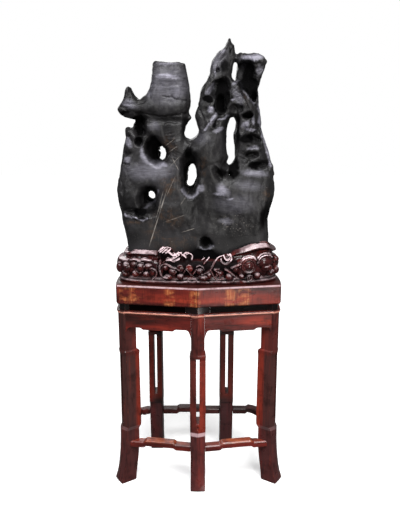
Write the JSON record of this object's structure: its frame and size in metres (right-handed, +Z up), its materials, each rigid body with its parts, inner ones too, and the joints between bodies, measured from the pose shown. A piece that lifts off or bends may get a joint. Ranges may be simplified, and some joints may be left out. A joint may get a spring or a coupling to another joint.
{
  "type": "scholars rock on stand",
  "caption": "Tall dark pierced natural stone standing in a carved rosewood base on a slender table with slotted legs and humpback stretchers.",
  "frame": {"origin": "on the floor under the middle of the table", "axes": "+Z up, the front of the stone looks along -Y, +X to its right"},
  "size_m": [0.641, 0.375, 1.6253],
  "materials": {
    "stone": "dark charcoal limestone with a waxed semi-matte sheen, pale veins and pits",
    "carved_rosewood": "deep red-brown carved rosewood, waxed and glossy on the high spots",
    "rosewood": "red-brown rosewood with straight grain and a waxed gloss",
    "dark_rosewood": "recessed rosewood darkened with age"
  },
  "bodies": {
    "root": {"rock": "stone", "carved_base": "carved_rosewood", "top_panel": "rosewood", "leg_left": "rosewood", "leg_front": "rosewood", "leg_right": "rosewood", "leg_back_right": "rosewood", "leg_back_left": "rosewood", "rim_front_left": "rosewood", "rim_front_right": "rosewood", "rim_right_end": "rosewood", "rim_back": "rosewood", "rim_left_end": "rosewood", "apron_front_left": "rosewood", "apron_front_right": "rosewood", "apron_right_end": "rosewood", "apron_back": "rosewood", "apron_left_end": "rosewood", "stretcher_front_left": "rosewood", "stretcher_front_right": "rosewood", "stretcher_right_end": "rosewood", "stretcher_back": "rosewood", "stretcher_left_end": "rosewood", "waist_front_left": "dark_rosewood", "waist_front_right": "dark_rosewood", "waist_right_end": "dark_rosewood", "waist_back": "dark_rosewood", "waist_left_end": "dark_rosewood"}
  },
  "joints": []
}
